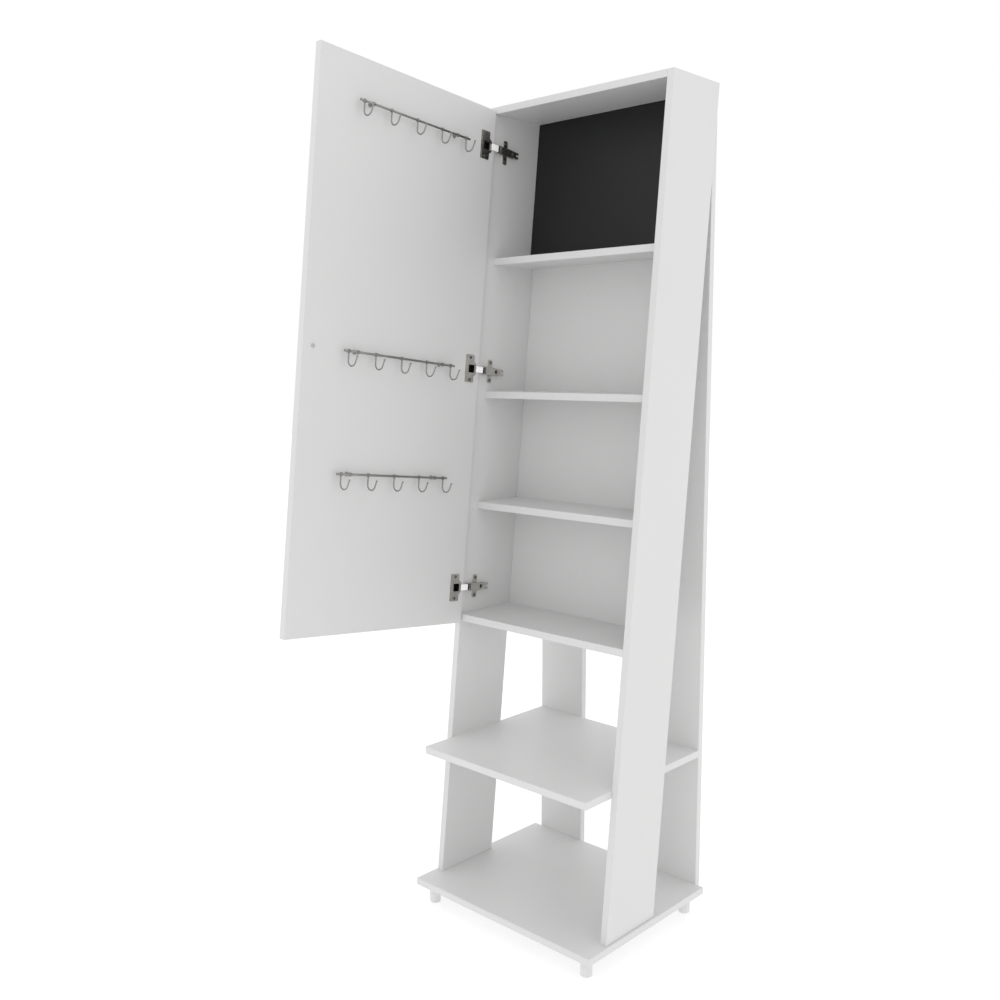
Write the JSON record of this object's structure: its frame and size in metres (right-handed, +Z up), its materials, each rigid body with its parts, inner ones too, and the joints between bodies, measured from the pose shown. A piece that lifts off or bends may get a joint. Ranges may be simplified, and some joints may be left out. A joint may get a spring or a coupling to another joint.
{
  "type": "jewelry armoire",
  "caption": "Tall narrow jewelry armoire that leans back on its base, with a hinged door, hook rails inside the door, inner shelves and an open lower shelf.",
  "frame": {"origin": "on the floor, centred below the whole piece with its door open at a right angle", "axes": "+X to the right of someone facing the front, +Y to the rear, +Z up"},
  "size_m": [0.49, 0.775, 1.7898],
  "materials": {
    "white_board": "white laminated particle board, satin",
    "black_board": "black laminated board, satin",
    "foot_plastic": "light grey plastic",
    "cap_plastic": "white plastic",
    "mirror_glass": "silvered glass",
    "zinc_steel": "zinc plated",
    "nickel_steel": "polished nickel plate",
    "rail_metal": "brushed steel"
  },
  "bodies": {
    "carcass": {"base_board": "white_board", "feet": "foot_plastic", "side_panel_left": "white_board", "side_panel_right": "white_board", "rear_post_left": "white_board", "rear_post_right": "white_board", "middle_shelf": "white_board", "cabinet_floor": "white_board", "shelf_lower": "white_board", "shelf_middle": "white_board", "shelf_upper": "white_board", "top_board": "white_board", "back_board": "white_board", "black_lining": "black_board", "post_screw_caps": "cap_plastic", "back_nails": "zinc_steel", "hinge_plate_top": "nickel_steel", "hinge_plate_middle": "nickel_steel", "hinge_plate_bottom": "nickel_steel", "hinge_arm_top": "nickel_steel", "hinge_arm_middle": "nickel_steel", "hinge_arm_bottom": "nickel_steel", "hinge_pins": "nickel_steel", "plate_screws": "nickel_steel", "arm_screws": "nickel_steel"},
    "door": {"door_panel": "white_board", "door_mirror": "mirror_glass", "door_knob": "zinc_steel", "knob_screw": "zinc_steel", "hinge_cup_top": "nickel_steel", "hinge_cup_middle": "nickel_steel", "hinge_cup_bottom": "nickel_steel", "cup_screws": "nickel_steel", "rail_top": "rail_metal", "rail_middle": "rail_metal", "rail_bottom": "rail_metal", "hooks_top": "rail_metal", "hooks_middle": "rail_metal", "hooks_bottom": "rail_metal", "rail_posts_top": "rail_metal", "rail_posts_middle": "rail_metal", "rail_posts_bottom": "rail_metal"},
    "hinge_links": {"hinge_link_top": "nickel_steel", "hinge_link_middle": "nickel_steel", "hinge_link_bottom": "nickel_steel"}
  },
  "joints": [
    {"name": "door_hinge", "type": "hinge", "parent": "carcass", "child": "door", "pos_m": [-0.2285, 0.01653, 0.0565], "axis": [0, 0.1037, 0.9946], "range_deg": [-10, 90]},
    {"name": "link_pivot", "type": "hinge", "parent": "carcass", "child": "hinge_links", "pos_m": [-0.219, 0.04289, 0.05376], "axis": [0, 0.1037, 0.9946], "range_deg": [-1.1, 9.1]}
  ],
  "couplings": [
    {"joint": "link_pivot", "follows": "door_hinge", "ratio": 0.1}
  ]
}
